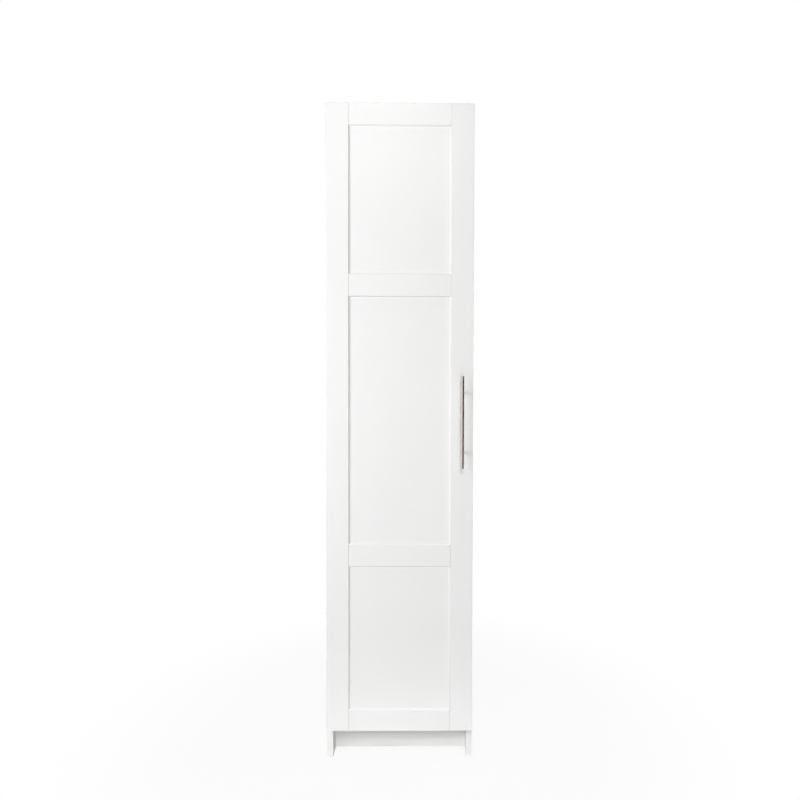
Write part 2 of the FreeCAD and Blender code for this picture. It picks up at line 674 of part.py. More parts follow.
def build_hinges():
    """The four hinges and their screws."""
    screws = {
        "hinge_cup_screws": [placed(
            screw(CUP_SCREW_RADIUS, CUP_SCREW_LENGTH, CUP_SCREW_HEAD_RADIUS, CUP_SCREW_HEAD_HEIGHT),
            place, ALONG_Y) for place in cup_screw_places()],
        "hinge_plate_screws": [placed(
            screw(PLATE_SCREW_RADIUS, PLATE_SCREW_LENGTH, PLATE_SCREW_HEAD_RADIUS, PLATE_SCREW_HEAD_HEIGHT),
            place, ALONG_X) for place in plate_screw_places()],
        "hinge_arm_screws": [placed(
            screw(ARM_SCREW_RADIUS, ARM_SCREW_LENGTH, ARM_SCREW_HEAD_RADIUS, ARM_SCREW_HEAD_HEIGHT),
            place, ALONG_X) for place in arm_screw_places()],
    }
    pieces = {
        "hinge_cup": hinge_cup(),
        "hinge_pin": hinge_pin(),
        "hinge_plate": hinge_plate(),
        "hinge_arm": hinge_arm(),
    }
    nodes = {name: [] for name in screws}
    for number, height in enumerate(HINGE_HEIGHTS, start=1):
        for name, piece in pieces.items():
            nodes["%s_%d" % (name, number)] = raised(piece, height)
        for name, group in screws.items():
            nodes[name] += [raised(item, height) for item in group]
    return nodes


# Door

def moulded_edge(edge, inward):
    """Outline of a frame piece's inner edge, from its front face to its back face.

    edge is where the flat face ends, and inward is the direction of the panel, -1 or +1.
    """
    foot = edge + inward * FRAME_BEVEL
    groove_floor = foot - inward * GROOVE_DEPTH
    return [
        (edge, DOOR_FRONT),
        (foot, PANEL_FRONT),
        (groove_floor, PANEL_FRONT),
        (groove_floor, PANEL_BACK),
        (foot, PANEL_BACK),
        (foot, DOOR_BACK),
    ]


def plain_edge(edge):
    """Outline of a frame piece's outer edge, from its front face to its back face."""
    return [(edge, DOOR_FRONT), (edge, DOOR_BACK)]


def door_blank():
    """The whole door as one block with its outer edges rounded, which every frame piece is trimmed to."""
    blank = box(-DOOR_HALF, DOOR_HALF, DOOR_FRONT, DOOR_BACK, DOOR_BOTTOM, DOOR_TOP)
    blank = round_edges(blank, DOOR_FRONT_ROUND, [ALONG_X, ALONG_Z], DOOR_FRONT)
    return round_edges(blank, DOOR_BACK_ROUND, [ALONG_X, ALONG_Z], DOOR_BACK)


def stile(low_edge, high_edge, blank):
    """An upright frame piece over the door's whole height."""
    outline = [Vector(x, y, DOOR_BOTTOM) for x, y in low_edge + high_edge[::-1]]
    return prism(outline, ALONG_Z * DOOR_HEIGHT).common(blank)


def joint_gap(side):
    """The fine gap along a stile's bevel that shows as a line where a rail meets the stile."""
    edge = side * (DOOR_HALF - STILE_FACE)
    rail_end = edge - side * JOINT_GAP
    lean = side * JOINT_GAP_DEPTH * FRAME_BEVEL / PANEL_RECESS
    floor = DOOR_FRONT + JOINT_GAP_DEPTH
    outline = [
        Vector(edge, DOOR_FRONT, DOOR_BOTTOM),
        Vector(rail_end, DOOR_FRONT, DOOR_BOTTOM),
        Vector(rail_end - lean, floor, DOOR_BOTTOM),
        Vector(edge - lean, floor, DOOR_BOTTOM),
    ]
    return prism(outline, ALONG_Z * DOOR_HEIGHT)


def rail(low_edge, high_edge, blank, stiles):
    """A cross piece whose ends are shaped to the stiles, with a stub tenon in each groove."""
    reach = DOOR_HALF - STILE_FACE - FRAME_BEVEL + GROOVE_DEPTH - TENON_PLAY
    outline = [Vector(-reach, y, z) for z, y in low_edge + high_edge[::-1]]
    solid = prism(outline, ALONG_X * (2 * reach)).common(blank)
    return solid.cut(stiles + [joint_gap(-1), joint_gap(1)])


def door_panel(opening_low, opening_high):
    """A flat panel with its edges in the grooves round one opening."""
    reach = GROOVE_DEPTH - FRAME_BEVEL - PANEL_PLAY
    half = DOOR_HALF - STILE_FACE + reach
    return box(-half, half, PANEL_FRONT, PANEL_BACK, opening_low - reach, opening_high + reach)


def bumper_places():
    """Where the two bumpers sit on the back of the door."""
    x = DOOR_HALF - DOOR_BACK_ROUND - BUMPER_INSET + BUMPER_RADIUS
    inset = BUMPER_INSET + BUMPER_RADIUS
    return [Vector(x, DOOR_BACK, z) for z in (DOOR_BOTTOM + inset, DOOR_TOP - inset)]


def build_door():
    """The frame, the panels and the bumpers."""
    blank = door_blank()
    left_inner = STILE_FACE - DOOR_HALF
    right_inner = DOOR_HALF - STILE_FACE
    left = stile(plain_edge(-DOOR_HALF), moulded_edge(left_inner, 1), blank)
    right = stile(moulded_edge(right_inner, -1), plain_edge(DOOR_HALF), blank)
    stiles = [left, right]
    bottom_rail_top = DOOR_BOTTOM + RAIL_FACE
    lower_mid_low = bottom_rail_top + LOWER_OPENING
    lower_mid_high = lower_mid_low + RAIL_FACE
    top_rail_low = DOOR_TOP - RAIL_FACE
    upper_mid_high = top_rail_low - UPPER_OPENING
    upper_mid_low = upper_mid_high - RAIL_FACE
    nodes = {
        "door_bottom_rail": rail(plain_edge(DOOR_BOTTOM), moulded_edge(bottom_rail_top, 1), blank, stiles),
        "door_lower_mid_rail": rail(
            moulded_edge(lower_mid_low, -1), moulded_edge(lower_mid_high, 1), blank, stiles
        ),
        "door_upper_mid_rail": rail(
            moulded_edge(upper_mid_low, -1), moulded_edge(upper_mid_high, 1), blank, stiles
        ),
        "door_top_rail": rail(moulded_edge(top_rail_low, -1), plain_edge(DOOR_TOP), blank, stiles),
        "door_lower_panel": door_panel(bottom_rail_top, lower_mid_low),
        "door_middle_panel": door_panel(lower_mid_high, upper_mid_low),
        "door_upper_panel": door_panel(upper_mid_high, top_rail_low),
    }
    nodes["door_left_stile"] = drilled(left, hinge_cup_holes())
    nodes["door_right_stile"] = drilled(right, handle_bolt_holes())
    height = DOOR_GAP - BUMPER_CLEARANCE
    nodes["door_bumpers"] = [rod(place, ALONG_Y, height, BUMPER_RADIUS) for place in bumper_places()]
    return nodes


# Handle

def post_heights():
    """The heights of the lower and the upper post."""
    return [HANDLE_CENTRE_HEIGHT - POST_SPACING / 2, HANDLE_CENTRE_HEIGHT + POST_SPACING / 2]


def handle_bolt_holes():
    """The clearance holes through the right stile."""
    holes = []
    for z in post_heights():
        start = Vector(HANDLE_X, DOOR_FRONT - CUT_OVERRUN, z)
        length = DOOR_THICKNESS + 2 * CUT_OVERRUN
        holes.append(rod(start, ALONG_Y, length, HANDLE_BOLT_RADIUS + FIT_PLAY))
    return holes


def spigot(height, play):
    """The pin from inside a post's end that is pressed into the bar, grown by a play for its hole."""
    start = Vector(HANDLE_X, HANDLE_Y + HANDLE_RADIUS + POST_RADIUS, height)
    return rod(start, -ALONG_Y, POST_RADIUS + SPIGOT_DEPTH + play, SPIGOT_RADIUS + play)


def handle_bar():
    """The round bar with chamfered ends and a hole for each post."""
    low = Vector(HANDLE_X, HANDLE_Y, HANDLE_CENTRE_HEIGHT - HANDLE_LENGTH / 2)
    bar = rod(low, ALONG_Z, HANDLE_LENGTH, HANDLE_RADIUS)
    ends = [edge for edge in bar.Edges if len(edge.Vertexes) == 1]
    bar = bar.makeChamfer(HANDLE_END_CHAMFER, ends)
    return bar.cut([spigot(z, FIT_PLAY) for z in post_heights()])


def handle_post(height):
    """One post: hollowed to the bar's round, with its spigot and a hole for its bolt."""
    foot = Vector(HANDLE_X, DOOR_FRONT, height)
    post = rod(foot, -ALONG_Y, DOOR_FRONT - HANDLE_Y, POST_RADIUS)
    around = rod(
        Vector(HANDLE_X, HANDLE_Y, height - POST_RADIUS - CUT_OVERRUN), ALONG_Z,
        2 * (POST_RADIUS + CUT_OVERRUN), HANDLE_RADIUS + FIT_PLAY,
    )
    bolt_hole = rod(foot, -ALONG_Y, HANDLE_BOLT_GRIP + HANDLE_BOLT_END_PLAY, HANDLE_BOLT_RADIUS + FIT_PLAY)
    return post.cut(around).fuse(spigot(height, 0)).cut(bolt_hole).removeSplitter()


def build_handle():
    """The bar, its posts and the bolts through the stile."""
    lower, upper = post_heights()
    length = DOOR_THICKNESS + HANDLE_BOLT_GRIP
    bolt = screw(HANDLE_BOLT_RADIUS, length, HANDLE_BOLT_HEAD_RADIUS, HANDLE_BOLT_HEAD_HEIGHT)
    return {
        "handle_bar": handle_bar(),
        "handle_post_lower": handle_post(lower),
        "handle_post_upper": handle_post(upper),
        "handle_bolts": [placed(bolt, Vector(HANDLE_X, DOOR_BACK, z), ALONG_Y) for z in (lower, upper)],
    }


def main():
    """Build every node and write it to its own file."""
    os.makedirs("parts", exist_ok=True)
    nodes = {}
    for build in (build_carcass, build_hinges, build_door, build_handle):
        nodes.update(build())
    for name, shape in sorted(nodes.items()):
        if isinstance(shape, list):
            shape = Part.makeCompound(shape)
        if not shape.isValid():
            raise ValueError("%s is not a valid shape" % name)
        shape.exportStep("parts/%s.step" % name)
        print("%-22s %3d solids %12.1f mm3" % (name, len(shape.Solids), shape.Volume))


main()
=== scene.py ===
"""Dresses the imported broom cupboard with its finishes, a turned bar handle, a studio and a camera."""
import logging
import math
from dataclasses import dataclass
from enum import Enum
from typing import Any, Iterable, Mapping, Sequence, Union

import bmesh
import bpy
from mathutils import Matrix, Vector


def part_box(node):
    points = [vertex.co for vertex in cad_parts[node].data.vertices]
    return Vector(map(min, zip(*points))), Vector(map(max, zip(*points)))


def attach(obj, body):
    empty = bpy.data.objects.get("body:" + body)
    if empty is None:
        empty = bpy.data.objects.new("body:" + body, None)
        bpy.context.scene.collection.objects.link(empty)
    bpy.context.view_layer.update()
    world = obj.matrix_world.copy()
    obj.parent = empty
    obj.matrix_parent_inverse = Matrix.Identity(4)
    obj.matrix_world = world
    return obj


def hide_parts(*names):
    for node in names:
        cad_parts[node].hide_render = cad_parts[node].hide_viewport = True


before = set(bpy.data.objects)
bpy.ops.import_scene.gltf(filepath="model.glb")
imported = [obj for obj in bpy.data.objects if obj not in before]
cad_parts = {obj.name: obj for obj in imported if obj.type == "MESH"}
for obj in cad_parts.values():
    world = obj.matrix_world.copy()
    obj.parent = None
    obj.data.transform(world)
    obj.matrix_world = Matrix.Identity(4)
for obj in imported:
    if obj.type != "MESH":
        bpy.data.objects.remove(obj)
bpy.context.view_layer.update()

log = logging.getLogger("broom_cupboard")

Colour = tuple[float, float, float]
Point = tuple[float, float, float]
MILLIMETRE = 0.001
WHITE: Colour = (1.0, 1.0, 1.0)


class Body(Enum):
    """The record's bodies that new pieces ride on."""

    DOOR = "door"


class Slot(Enum):
    """A material slot of the record, which no new piece here is given."""

    HANDLE = "brushed_handle"


class Maths(Enum):
    """The sums that a Math node can do here."""

    ADD = "ADD"
    SUBTRACT = "SUBTRACT"
    MULTIPLY = "MULTIPLY"
    ABSOLUTE = "ABSOLUTE"
    ABOVE = "GREATER_THAN"
    BELOW = "LESS_THAN"
    LEAST = "MINIMUM"
    MOST = "MAXIMUM"
    SIGN = "SIGN"
    SINE = "SINE"


# Shader sums and node trees

class Signal:
    """A node's output that takes part in plain Python sums."""

    def __init__(self, graph: "Graph", socket: bpy.types.NodeSocket) -> None:
        """Keeps the tree and the output socket."""
        self.graph = graph
        self.socket = socket

    def _do(self, operation: Maths, *terms: "Value") -> "Signal":
        """The result of one Math node on the terms in order."""
        return self.graph.add("ShaderNodeMath", {"operation": operation.value}, dict(enumerate(terms)))

    def __add__(self, other: "Value") -> "Signal":
        """This plus other."""
        return self._do(Maths.ADD, self, other)

    __radd__ = __add__

    def __sub__(self, other: "Value") -> "Signal":
        """This less other."""
        return self._do(Maths.SUBTRACT, self, other)

    def __rsub__(self, other: "Value") -> "Signal":
        """Other less this."""
        return self._do(Maths.SUBTRACT, other, self)

    def __mul__(self, other: "Value") -> "Signal":
        """This times other."""
        return self._do(Maths.MULTIPLY, self, other)

    __rmul__ = __mul__

    def __abs__(self) -> "Signal":
        """This without its sign."""
        return self._do(Maths.ABSOLUTE, self)

    def __gt__(self, other: "Value") -> "Signal":
        """One where this is above other, and nought elsewhere."""
        return self._do(Maths.ABOVE, self, other)

    def __lt__(self, other: "Value") -> "Signal":
        """One where this is below other, and nought elsewhere."""
        return self._do(Maths.BELOW, self, other)

    def least(self, other: "Value") -> "Signal":
        """The smaller of this and other."""
        return self._do(Maths.LEAST, self, other)

    def most(self, other: "Value") -> "Signal":
        """The larger of this and other."""
        return self._do(Maths.MOST, self, other)

    def sign(self) -> "Signal":
        """One where this is above nought, and minus one where it is below."""
        return self._do(Maths.SIGN, self)

    def sine(self) -> "Signal":
        """The sine of this angle in radians."""
        return self._do(Maths.SINE, self)

    def centred(self) -> "Signal":
        """A signal from nought to one, moved to run from minus a half to a half."""
        return self - 0.5

    def between(self, low: float, high: float) -> "Signal":
        """A smooth rise from nought at low to one at high."""
        inputs = {"Value": self, "From Min": low, "From Max": high}
        return self.graph.add("ShaderNodeMapRange", {"interpolation_type": "SMOOTHSTEP"}, inputs)

    def axes(self) -> tuple["Signal", "Signal", "Signal"]:
        """Takes a vector signal apart.

        Returns:
            Its parts along x, y and z.
        """
        node = self.graph.node("ShaderNodeSeparateXYZ", {}, {"Vector": self})
        x, y, z = (Signal(self.graph, output) for output in node.outputs)
        return x, y, z


Value = Union[float, Signal]


class Graph:
    """A node tree, and the one way in which nodes are added to it."""

    def __init__(self, tree: bpy.types.NodeTree) -> None:
        """Empties the tree and keeps it."""
        self.tree = tree
        tree.nodes.clear()

    def node(self, kind: str, settings: Mapping[str, Any], inputs: Mapping[Any, Any]) -> bpy.types.Node:
        """Adds a node.

        Args:
            kind: the node's type.
            settings: its properties, set first.
            inputs: values or links by socket name or number.

        Returns:
            The new node.
        """
        node = self.tree.nodes.new(kind)
        for name, value in settings.items():
            setattr(node, name, value)
        for key, value in inputs.items():
            socket = node.inputs[key]
            if isinstance(value, Signal):
                self.tree.links.new(value.socket, socket)
            elif socket.type == "RGBA":
                socket.default_value = (*value, 1.0)
            else:
                socket.default_value = value
        return node

    def add(
        self, kind: str, settings: Mapping[str, Any], inputs: Mapping[Any, Any], output: Union[int, str] = 0
    ) -> Signal:
        """Adds a node and takes one of its outputs.

        Args:
            kind: the node's type.
            settings: its properties.
            inputs: values or links by socket name or number.
            output: the output's name or number.

        Returns:
            The output as a signal.
        """
        return Signal(self, self.node(kind, settings, inputs).outputs[output])

    def place(self) -> Signal:
        """The point in the piece's own frame, in metres."""
        return self.add("ShaderNodeTexCoord", {}, {}, "Object")

    def facing(self) -> Signal:
        """The surface's direction in the piece's own frame."""
        return self.add("ShaderNodeTexCoord", {}, {}, "Normal")

    def stretched(self, place: Signal, scale: Point) -> Signal:
        """The place times a scale along each axis."""
        return self.add("ShaderNodeVectorMath", {"operation": "MULTIPLY"}, {0: place, 1: scale})

    def noise(self, place: Signal, scale: float, detail: float, roughness: float = 0.5) -> Signal:
        """Adds cloudy noise.

        Args:
            place: where the noise is read.
            scale: its features in a metre.
            detail: how many finer layers it has.
            roughness: how strong the finer layers are.

        Returns:
            The noise, from nought to one.
        """
        inputs = {"Vector": place, "Scale": scale, "Detail": detail, "Roughness": roughness}
        return self.add("ShaderNodeTexNoise", {}, inputs, "Fac")

    def chips(self, place: Signal, scale: float) -> Signal:
        """A tone from nought to one that differs from chip to chip, at a scale of chips in a metre."""
        colour = self.add("ShaderNodeTexVoronoi", {}, {"Vector": place, "Scale": scale}, "Color")
        return self.add("ShaderNodeSeparateColor", {}, {"Color": colour})

    def mix(self, share: Value, first: Any, second: Any) -> Signal:
        """Mixes two colours.

        Args:
            share: how much of the second colour shows.
            first: the first colour.
            second: the second colour.

        Returns:
            The mixed colour.
        """
        inputs = {0: share, 6: first, 7: second}
        return self.add("ShaderNodeMix", {"data_type": "RGBA", "blend_type": "MIX"}, inputs, 2)

    def relief(self, height: Signal, depth: float) -> Signal:
        """A bumped normal, from a height from nought to one and its depth in metres."""
        inputs = {"Strength": 1.0, "Distance": depth, "Height": height}
        return self.add("ShaderNodeBump", {}, inputs, "Normal")

    def shade(self, **inputs: Any) -> None:
        """Ends the tree in one Principled shader.

        Args:
            inputs: the shader's inputs, named with _ for a space.
        """
        named = {name.replace("_", " "): value for name, value in inputs.items()}
        shader = self.add("ShaderNodeBsdfPrincipled", {}, named)
        self.node("ShaderNodeOutputMaterial", {}, {"Surface": shader})


# Finishes

class Finish:
    """A finish that makes its material once and then hands it out."""

    name: str

    def paint(self, graph: Graph) -> None:
        """Fills the material's node tree."""
        raise NotImplementedError

    def material(self) -> bpy.types.Material:
        """Finds the finish's material, or makes it at its first use.

        Returns:
            The material.
        """
        found = bpy.data.materials.get(self.name)
        if found is None:
            found = bpy.data.materials.new(self.name)
            found.use_nodes = True
            self.paint(Graph(found.node_tree))
        return found

    def dress(self, *pieces: bpy.types.Object) -> None:
        """Gives the material to each piece as its only one.

        Args:
            pieces: the pieces.
        """
        for piece in pieces:
            piece.data.materials.clear()
            piece.data.materials.append(self.material())
            log.info("%s is finished in %s", piece.name, self.name)


@dataclass(frozen=True)
class SatinFoil(Finish):
    """Satin white foil over the door's fibreboard, with a very fine orange peel and bare rail ends."""

    name: str = "satin_white_foil"
    colour: Colour = (0.87, 0.87, 0.865)
    deeper: Colour = (0.845, 0.845, 0.838)
    bare: Colour = (0.40, 0.31, 0.22)
    rail_end: float = 133.0 * MILLIMETRE
    stile_edge: float = 150.0 * MILLIMETRE
    end_facing: float = 0.6
    cloud_scale: float = 6.0
    cloud_detail: float = 3.0
    cloud_share: float = 0.5
    peel_scale: float = 900.0
    peel_detail: float = 1.0
    peel_depth: float = 0.012 * MILLIMETRE
    roughness: float = 0.4
    cloud_roughness: float = 0.1
    peel_roughness: float = 0.06

    def bare_end(self, graph: Graph, place: Signal) -> Signal:
        """Finds the rails' ends, which butt on the stiles without foil.

        Args:
            graph: the tree.
            place: the point on the door.

        Returns:
            One on a rail's end, and nought elsewhere.
        """
        x, _, _ = place.axes()
        across, _, _ = graph.facing().axes()
        outward = across * x.sign() > self.end_facing
        return outward * (abs(x) > self.rail_end) * (abs(x) < self.stile_edge)

    def paint(self, graph: Graph) -> None:
        """Paints the foil, and bare fibreboard on the rails' ends.

        Args:
            graph: the material's tree.
        """
        place = graph.place()
        cloud = graph.noise(place, self.cloud_scale, self.cloud_detail)
        peel = graph.noise(place, self.peel_scale, self.peel_detail)
        foil = graph.mix(self.cloud_share * cloud, self.colour, self.deeper)
        unevenness = self.cloud_roughness * cloud.centred() + self.peel_roughness * peel.centred()
        graph.shade(
            Base_Color=graph.mix(self.bare_end(graph, place), foil, self.bare),
            Roughness=self.roughness + unevenness,
            Normal=graph.relief(peel, self.peel_depth),
        )


@dataclass(frozen=True)
class Melamine(Finish):
    """Matt white melamine on chipboard, raw wherever a board is cut or drilled below its skin."""

    name: str
    low: Point
    high: Point
    colour: Colour = (0.86, 0.86, 0.852)
    deeper: Colour = (0.835, 0.835, 0.826)
    chip_light: Colour = (0.66, 0.51, 0.34)
    chip_dark: Colour = (0.36, 0.25, 0.15)
    skin: float = 0.9 * MILLIMETRE
    cloud_scale: float = 7.0
    cloud_detail: float = 3.0
    cloud_share: float = 0.5
    grit_scale: float = 1300.0
    grit_detail: float = 2.0
    grit_depth: float = 0.012 * MILLIMETRE
    chip_stretch: Point = (1.0, 0.45, 1.0)
    chip_scale: float = 520.0
    chip_height: float = 2.0
    roughness: float = 0.5
    cloud_roughness: float = 0.08
    core_roughness: float = 0.35

    def core(self, place: Signal) -> Signal:
        """Finds the chipboard under the skin.

        Args:
            place: the point on the board.

        Returns:
            One below the skin, and nought on it.
        """
        sides = zip(place.axes(), self.low, self.high)
        x, y, z = ((along - low).least(high - along) for along, low, high in sides)
        return x.least(y).least(z) > self.skin

    def paint(self, graph: Graph) -> None:
        """Paints the white skin, and the chips under it.

        Args:
            graph: the material's tree.
        """
        place = graph.place()
        core = self.core(place)
        cloud = graph.noise(place, self.cloud_scale, self.cloud_detail)
        grit = graph.noise(place, self.grit_scale, self.grit_detail)
        chips = graph.chips(graph.stretched(place, self.chip_stretch), self.chip_scale)
        white = graph.mix(self.cloud_share * cloud, self.colour, self.deeper)
        raw = graph.mix(chips, self.chip_light, self.chip_dark)
        graph.shade(
            Base_Color=graph.mix(core, white, raw),
            Roughness=self.roughness + self.cloud_roughness * cloud.centred() + self.core_roughness * core,
            Normal=graph.relief(grit + self.chip_height * core * chips, self.grit_depth),
        )


@dataclass(frozen=True)
class Hardboard(Finish):
    """Thin hardboard, painted white towards the inside, with its brown screen side to the wall."""

    name: str = "white_faced_hardboard"
    white: Colour = (0.84, 0.84, 0.83)
    white_deeper: Colour = (0.80, 0.80, 0.788)
    brown_light: Colour = (0.40, 0.255, 0.145)
    brown_dark: Colour = (0.235, 0.135, 0.07)
    inside_facing: float = -0.5
    screen_pitch: float = 1.6 * MILLIMETRE
    screen_depth: float = 0.18 * MILLIMETRE
    screen_tone: float = 0.2
    cloud_scale: float = 5.0
    cloud_detail: float = 4.0
    cloud_tone: float = 0.35
    cloud_share: float = 0.6
    fibre_stretch: Point = (1.0, 1.0, 0.35)
    fibre_scale: float = 260.0
    fibre_detail: float = 5.0
    fibre_harshness: float = 0.65
    fibre_tone: float = 0.45
    fibre_height: float = 0.25
    darkest_tone: float = 0.3
    lightest_tone: float = 0.7
    roughness: float = 0.82
    paint_smoothness: float = 0.32
    fibre_roughness: float = 0.08

    def screen(self, place: Signal) -> Signal:
        """Makes the woven print that the press screen leaves.

        Args:
            place: the point on the board.

        Returns:
            The print's height from nought to one.
        """
        x, _, z = place.axes()
        turn = 2.0 * math.pi / self.screen_pitch
        weave = (x * turn).sine() + (z * turn).sine()
        # Two sines add up to between minus two and two
        return 0.5 + 0.25 * weave

    def paint(self, graph: Graph) -> None:
        """Paints the white inside and the brown back.

        Args:
            graph: the material's tree.
        """
        place = graph.place()
        _, towards_wall, _ = graph.facing().axes()
        inside = towards_wall < self.inside_facing
        cloud = graph.noise(place, self.cloud_scale, self.cloud_detail)
        along = graph.stretched(place, self.fibre_stretch)
        fibre = graph.noise(along, self.fibre_scale, self.fibre_detail, self.fibre_harshness)
        screen = self.screen(place)
        tone = self.fibre_tone * fibre + self.cloud_tone * cloud + self.screen_tone * screen
        lightness = tone.between(self.darkest_tone, self.lightest_tone)
        brown = graph.mix(lightness, self.brown_dark, self.brown_light)
        white = graph.mix(self.cloud_share * cloud, self.white, self.white_deeper)
        height = (1.0 - inside) * screen + self.fibre_height * fibre
        evenness = self.roughness - self.paint_smoothness * inside
        graph.shade(
            Base_Color=graph.mix(inside, brown, white),
            Roughness=evenness + self.fibre_roughness * fibre.centred(),
            Normal=graph.relief(height, self.screen_depth),
        )


@dataclass(frozen=True)
class BareMetal(Finish):
    """Plated, brushed or cast metal, with fine lines, a cloudy sheen and a grain."""

    name: str
    bright: Colour
    dull: Colour
    roughness: float
    lines: Point = (1.0, 1.0, 1.0)
    line_scale: float = 1500.0
    line_detail: float = 2.0
    line_depth: float = 0.01 * MILLIMETRE
    cloud_scale: float = 60.0
    cloud_detail: float = 3.0
    brightest_cloud: float = 0.25
    dullest_cloud: float = 0.75
    spread: float = 0.12

    def paint(self, graph: Graph) -> None:
        """Paints the metal.

        Args:
            graph: the material's tree.
        """
        place = graph.place()
        cloud = graph.noise(place, self.cloud_scale, self.cloud_detail)
        lines = graph.noise(graph.stretched(place, self.lines), self.line_scale, self.line_detail)
        dullness = cloud.between(self.brightest_cloud, self.dullest_cloud)
        graph.shade(
            Base_Color=graph.mix(dullness, self.bright, self.dull),
            Metallic=1.0,
            Roughness=self.roughness + self.spread * cloud.centred() + self.spread * lines.centred(),
            Normal=graph.relief(lines, self.line_depth),
        )


@dataclass(frozen=True)
class MouldedPlastic(Finish):
    """Moulded white plastic with a spark-eroded texture."""

    name: str = "moulded_white_plastic"
    colour: Colour = (0.85, 0.85, 0.838)
    deeper: Colour = (0.80, 0.80, 0.785)
    cloud_scale: float = 120.0
    cloud_detail: float = 2.0
    cloud_share: float = 0.6
    texture_scale: float = 2600.0
    texture_detail: float = 2.0
    texture_depth: float = 0.02 * MILLIMETRE
    roughness: float = 0.45
    texture_roughness: float = 0.12

    def paint(self, graph: Graph) -> None:
        """Paints the plastic.

        Args:
            graph: the material's tree.
        """
        place = graph.place()
        cloud = graph.noise(place, self.cloud_scale, self.cloud_detail)
        texture = graph.noise(place, self.texture_scale, self.texture_detail)
        graph.shade(
            Base_Color=graph.mix(self.cloud_share * cloud, self.colour, self.deeper),
            Roughness=self.roughness + self.texture_roughness * texture.centred(),
            Normal=graph.relief(texture, self.texture_depth),
        )


@dataclass(frozen=True)
class PlainBeech(Finish):
    """Bare beech with its short dark flecks."""

    name: str = "plain_beech"
    pale: Colour = (0.72, 0.53, 0.34)
    deep: Colour = (0.55, 0.37, 0.21)
    fleck: Colour = (0.36, 0.21, 0.11)
    stretch: Point = (0.12, 1.0, 1.0)
    grain_scale: float = 420.0
    grain_detail: float = 4.0
    grain_depth: float = 0.04 * MILLIMETRE
    palest_grain: float = 0.35
    deepest_grain: float = 0.65
    fleck_scale: float = 1500.0
    fleck_detail: float = 1.0
    fleck_from: float = 0.62
    fleck_to: float = 0.7
    fleck_share: float = 0.7
    roughness: float = 0.6
    grain_roughness: float = 0.15

    def paint(self, graph: Graph) -> None:
        """Paints the grain and its flecks.

        Args:
            graph: the material's tree.
        """
        along = graph.stretched(graph.place(), self.stretch)
        grain = graph.noise(along, self.grain_scale, self.grain_detail)
        specks = graph.noise(along, self.fleck_scale, self.fleck_detail)
        flecks = specks.between(self.fleck_from, self.fleck_to)
        wood = graph.mix(grain.between(self.palest_grain, self.deepest_grain), self.pale, self.deep)
        graph.shade(
            Base_Color=graph.mix(self.fleck_share * flecks, wood, self.fleck),
            Roughness=self.roughness + self.grain_roughness * grain.centred(),
            Normal=graph.relief(grain - flecks, self.grain_depth),
        )


@dataclass(frozen=True)
class SoftBumper(Finish):
    """Clear soft plastic of the stick-on bumpers, slightly cloudy."""

    name: str = "clear_soft_bumper"
    clear: Colour = (0.93, 0.93, 0.91)
    cloudy: Colour = (0.84, 0.84, 0.80)
    cloud_scale: float = 300.0
    cloud_detail: float = 3.0
    cloud_depth: float = 0.03 * MILLIMETRE
    clearest_cloud: float = 0.3
    densest_cloud: float = 0.8
    roughness: float = 0.16
    cloud_roughness: float = 0.14
    refraction: float = 1.48
    clearness: float = 0.7

    def paint(self, graph: Graph) -> None:
        """Paints the soft plastic.

        Args:
            graph: the material's tree.
        """
        cloud = graph.noise(graph.place(), self.cloud_scale, self.cloud_detail)
        density = cloud.between(self.clearest_cloud, self.densest_cloud)
        graph.shade(
            Base_Color=graph.mix(density, self.clear, self.cloudy),
            Roughness=self.roughness + self.cloud_roughness * cloud,
            IOR=self.refraction,
            Transmission_Weight=self.clearness,
            Normal=graph.relief(cloud, self.cloud_depth),
        )


BRUSHED_NICKEL = BareMetal(
    name="brushed_nickel_bar", bright=(0.70, 0.68, 0.65), dull=(0.61, 0.58, 0.54), roughness=0.27,
    lines=(0.12, 0.12, 1.0), line_scale=2600.0,
)
NICKEL_PLATE = BareMetal(
    name="nickel_plate", bright=(0.71, 0.70, 0.67), dull=(0.60, 0.59, 0.57), roughness=0.24,
    lines=(1.0, 0.15, 1.0), line_scale=900.0, cloud_scale=90.0,
)
ZINC_PLATE = BareMetal(
    name="zinc_plate", bright=(0.67, 0.69, 0.72), dull=(0.56, 0.56, 0.53), roughness=0.36,
    line_scale=700.0, cloud_scale=140.0,
)
CAST_ZINC = BareMetal(
    name="cast_zinc", bright=(0.58, 0.58, 0.58), dull=(0.43, 0.43, 0.43), roughness=0.52,
    line_scale=1800.0, line_depth=0.05 * MILLIMETRE, cloud_scale=220.0,
)
SATIN_FOIL = SatinFoil()
HARDBOARD = Hardboard()
WHITE_PLASTIC = MouldedPlastic()
BEECH = PlainBeech()
CLEAR_BUMPER = SoftBumper()


# Mesh making

def cad_nodes(*prefixes: str) -> list[bpy.types.Object]:
    """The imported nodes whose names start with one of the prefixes."""
    return [node for name, node in sorted(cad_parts.items()) if name.startswith(prefixes)]


def new_object(name: str, made: bmesh.types.BMesh, finish: Finish) -> bpy.types.Object:
    """Turns a finished mesh into an object of the scene.

    Args:
        name: the object's name.
        made: its mesh, which is used up.
        finish: its finish.

    Returns:
        The object.
    """
    mesh = bpy.data.meshes.new(name)
    made.to_mesh(mesh)
    made.free()
    piece = bpy.data.objects.new(name, mesh)
    bpy.context.scene.collection.objects.link(piece)
    finish.dress(piece)
    return piece


def smooth_by_angle(made: bmesh.types.BMesh, angle: float) -> None:
    """Shades faces smoothly, with a crease wherever they meet sharply.

    Args:
        made: the mesh.
        angle: the least angle between two faces, in degrees, that stays a crease.
    """
    for face in made.faces:
        face.smooth = True
    for edge in made.edges:
        if len(edge.link_faces) == 2 and edge.calc_face_angle() > math.radians(angle):
            edge.smooth = False


